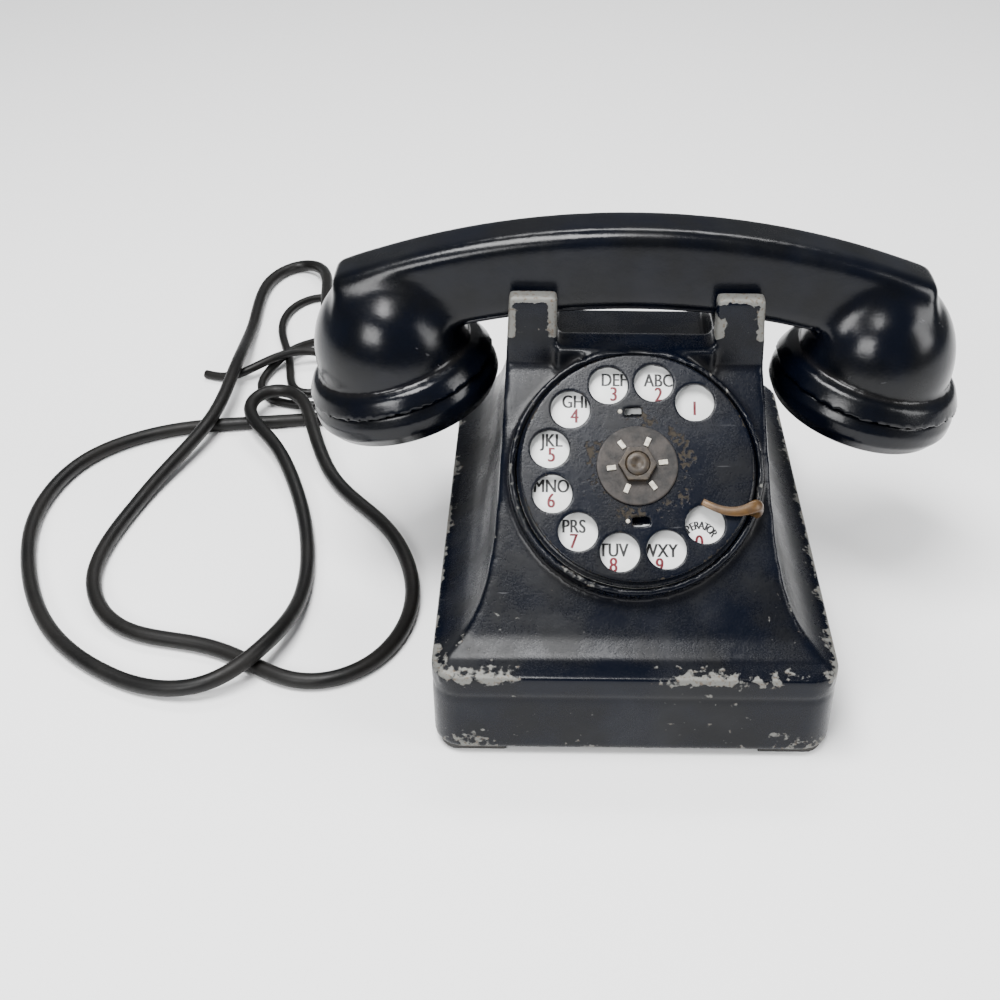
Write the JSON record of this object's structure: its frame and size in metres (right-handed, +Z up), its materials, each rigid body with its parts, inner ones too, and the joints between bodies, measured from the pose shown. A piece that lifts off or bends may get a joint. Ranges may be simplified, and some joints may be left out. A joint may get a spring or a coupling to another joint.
{
  "type": "rotary telephone",
  "caption": "Desk telephone: square-based cast body with a sloping rotary dial, four cradle ears, lift-off handset with two capped cups, bell ringer inside and two free cords.",
  "frame": {"origin": "middle of the body's footprint on the surface it stands on, measured without the cords", "axes": "+X along the handset to the receiver, -Y out of the dial side, +Z up"},
  "size_m": [0.3571, 0.3569, 0.1436],
  "materials": {
    "body_paint": "worn semi-gloss enamel over cast zinc",
    "wheel_paint": "worn semi-gloss enamel over steel",
    "handset_shell": "aged moulded resin with soft gloss",
    "number_enamel": "fired enamel",
    "hub_brown": "oxidised and dirty",
    "hub_brass": "dull brass",
    "clip_tin": "bare bright tips",
    "stop_brass": "worn brass",
    "foot_rubber": "aged rubber",
    "cord_rubber": "satin rubber",
    "plated_steel": "zinc plated",
    "dark_steel": "dark plated sheet",
    "spring_brass": "nickel silver and brass leaf",
    "gong_brass": "spun brass",
    "coil_wrap": "varnished paper winding",
    "can_tin": "tinned can",
    "fibre": "pressed fibre",
    "ivory_plastic": "moulded plastic"
  },
  "bodies": {
    "root": {"housing": "body_paint", "base_plate": "dark_steel", "feet": "foot_rubber", "base_screws": "plated_steel", "dial_plate": "plated_steel", "dial_case": "dark_steel", "dial_screws": "plated_steel", "number_plate": "number_enamel", "finger_stop": "stop_brass", "main_spring": "dark_steel", "pulse_springs": "spring_brass", "governor_cup": "spring_brass", "hookswitch_frame": "dark_steel", "hookswitch_springs": "spring_brass", "bail_pin": "plated_steel", "plunger_bushes": "plated_steel", "ringer_frame": "dark_steel", "ringer_coils": "coil_wrap", "ringer_magnet": "dark_steel", "gong_left": "gong_brass", "gong_right": "gong_brass", "gong_screws": "plated_steel", "clapper_pin": "plated_steel", "induction_coil": "coil_wrap", "condenser": "can_tin", "terminal_strip": "fibre", "terminal_screws": "spring_brass", "cord_grommets": "foot_rubber", "handset_cord": "cord_rubber", "line_cord": "cord_rubber"},
    "dial_wheel": {"finger_wheel": "wheel_paint", "hub_disc": "hub_brown", "hub_clips": "clip_tin", "hub_nut": "hub_brass", "main_shaft": "plated_steel", "main_gear": "spring_brass"},
    "pulse_train": {"pulse_shaft": "plated_steel", "pulse_gear": "spring_brass", "pulse_cam": "ivory_plastic"},
    "governor": {"governor_shaft": "plated_steel", "governor_weights": "dark_steel"},
    "left_plunger": {"plunger_left": "ivory_plastic"},
    "right_plunger": {"plunger_right": "ivory_plastic"},
    "switch_bail": {"hook_bail": "dark_steel"},
    "bell_clapper": {"clapper": "gong_brass"},
    "handset": {"handle": "handset_shell", "transmitter_cap": "handset_shell", "receiver_cap": "handset_shell", "transmitter_unit": "can_tin", "receiver_unit": "can_tin", "transmitter_springs": "spring_brass", "receiver_leads": "fibre", "handset_bush": "foot_rubber"}
  },
  "joints": [
    {"name": "finger_wheel_turn", "type": "hinge", "parent": "root", "child": "dial_wheel", "pos_m": [0, -0.03767, 0.07663], "axis": [0, 0.6561, -0.7547], "range_deg": [0, 330], "stiffness_Nm_per_rad": 0.004, "springref_deg": -85.94},
    {"name": "pulse_train_spin", "type": "hinge", "parent": "root", "child": "pulse_train", "pos_m": [-0.01973, -0.03653, 0.06437], "axis": [0, 0.6561, -0.7547], "range_deg": [-1320, 0]},
    {"name": "governor_spin", "type": "hinge", "parent": "root", "child": "governor", "pos_m": [-0.01274, -0.04275, 0.05897], "axis": [0, 0.6561, -0.7547], "range_deg": [0, 3960]},
    {"name": "left_plunger_press", "type": "slide", "parent": "root", "child": "left_plunger", "axis": [0, 0, 1], "range_m": [-0.004, 0], "stiffness_N_per_m": 60, "springref_m": 0.004},
    {"name": "right_plunger_press", "type": "slide", "parent": "root", "child": "right_plunger", "axis": [0, 0, 1], "range_m": [-0.004, 0], "stiffness_N_per_m": 60, "springref_m": 0.004},
    {"name": "bail_swing", "type": "hinge", "parent": "root", "child": "switch_bail", "pos_m": [0, 0.028, 0.084], "axis": [1, 0, 0], "range_deg": [0, 20]},
    {"name": "clapper_swing", "type": "hinge", "parent": "root", "child": "bell_clapper", "pos_m": [0, 0.0265, 0.022], "axis": [0, 0, 1], "range_deg": [-3.5, 3.5], "stiffness_Nm_per_rad": 0.01},
    {"name": "handset_lift", "type": "slide", "parent": "root", "child": "handset", "axis": [0, 0, 1], "range_m": [0, 0.1]}
  ],
  "couplings": [
    {"joint": "pulse_train_spin", "follows": "finger_wheel_turn", "ratio": -4},
    {"joint": "governor_spin", "follows": "finger_wheel_turn", "ratio": 12},
    {"joint": "right_plunger_press", "follows": "left_plunger_press", "ratio": 1},
    {"joint": "bail_swing", "follows": "left_plunger_press", "rad_per_m": -80}
  ]
}
